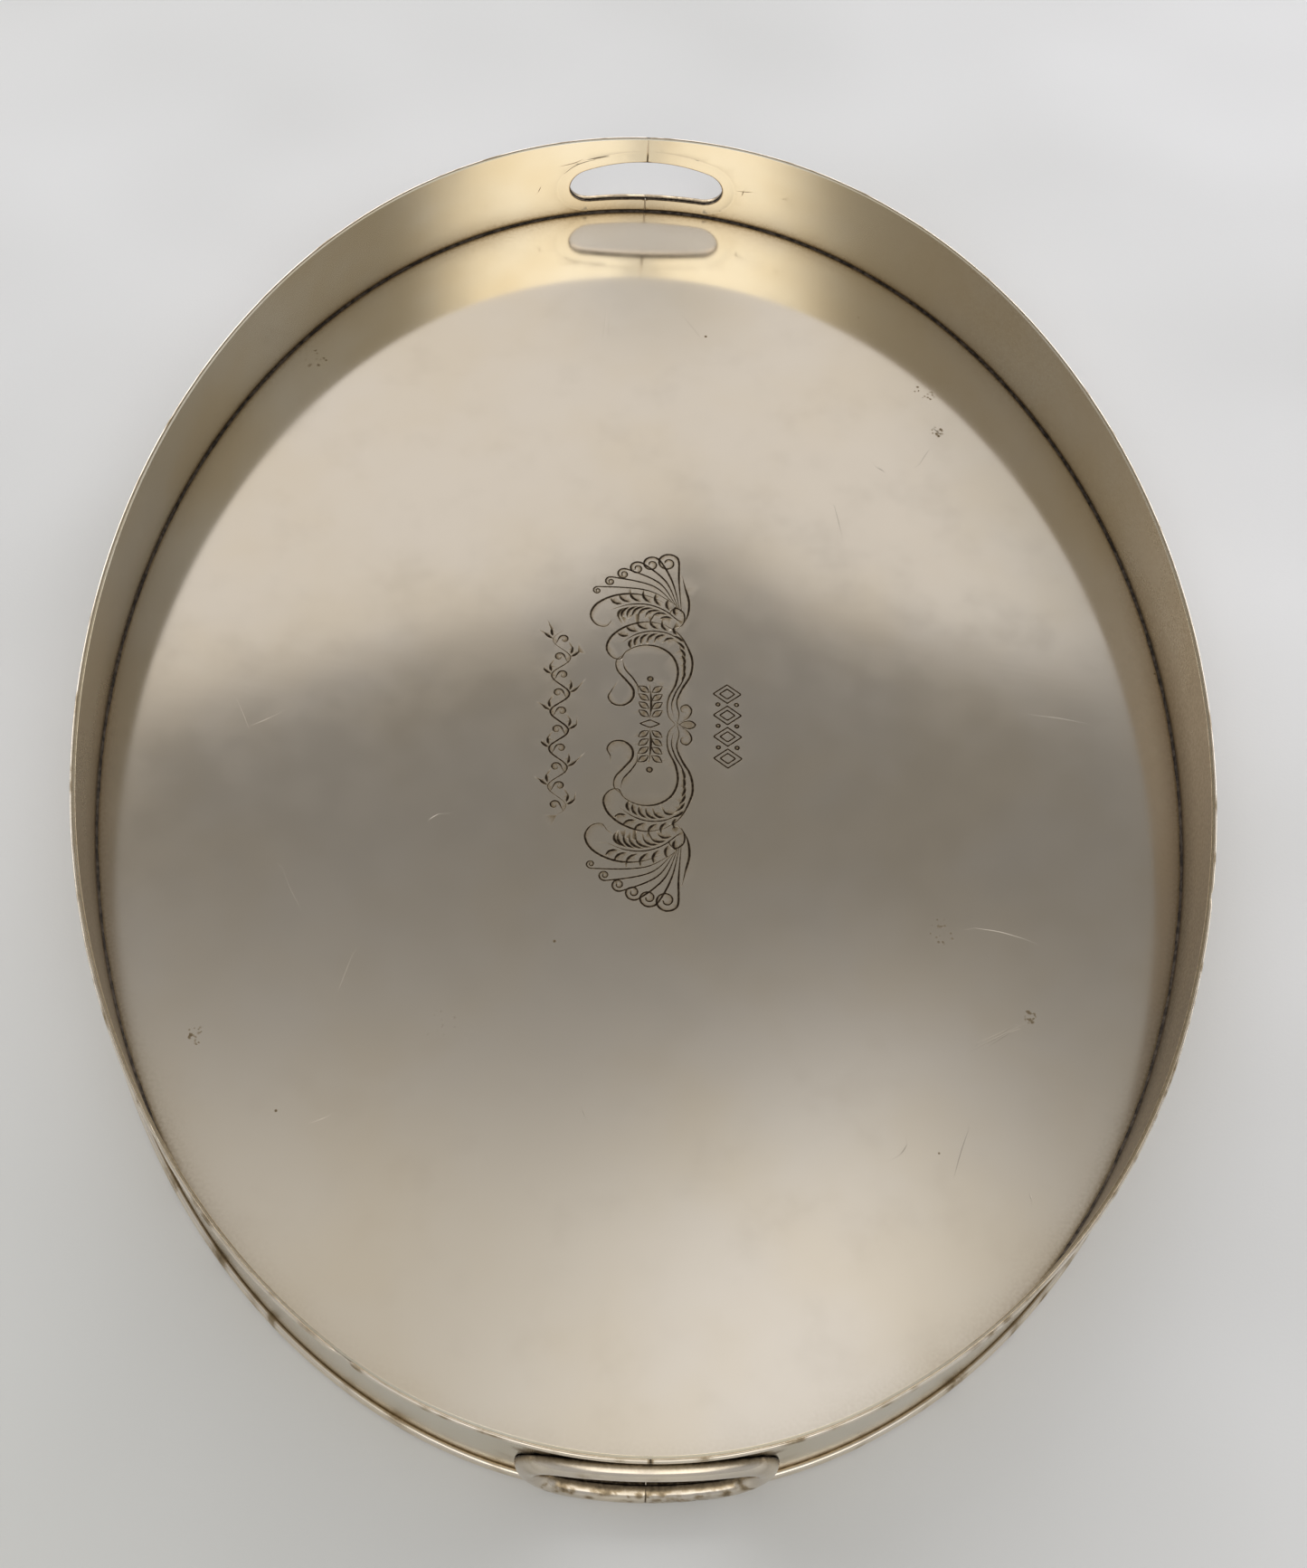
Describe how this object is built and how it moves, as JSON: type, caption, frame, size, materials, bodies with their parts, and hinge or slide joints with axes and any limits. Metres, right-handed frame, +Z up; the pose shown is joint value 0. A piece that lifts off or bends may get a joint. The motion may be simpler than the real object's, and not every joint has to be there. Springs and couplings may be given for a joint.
{
  "type": "oval gallery tray",
  "caption": "Oval metal serving tray with a flat engraved floor, an upright gallery wall and a framed hand opening cut through the wall at each end.",
  "frame": {"origin": "middle of the underside, on the surface that the tray stands on", "axes": "+Y along the tray's long axis to the far handle, +X to the right across it, +Z up out of the tray"},
  "size_m": [0.451, 0.6122, 0.0469],
  "materials": {
    "floor_sheet": "satin-brushed silver plate over brass, engraved, lightly scratched and spotted",
    "wall_sheet": "satin silver plate over brass, the brass tone showing through",
    "wire": "polished silver plate over brass wire, tarnished in its joint",
    "ring_bar": "polished silver plate over brass bar, tarnish pits by the joint",
    "solder": "dark tarnished tin solder"
  },
  "bodies": {
    "root": {"tray_floor": "floor_sheet", "gallery_wall_left": "wall_sheet", "gallery_wall_right": "wall_sheet", "rim_wire_left": "wire", "rim_wire_right": "wire", "foot_wire_left": "wire", "foot_wire_right": "wire", "handle_ring_near": "ring_bar", "handle_ring_far": "ring_bar", "floor_solder": "solder", "seam_solder_near": "solder", "seam_solder_far": "solder"}
  },
  "joints": []
}
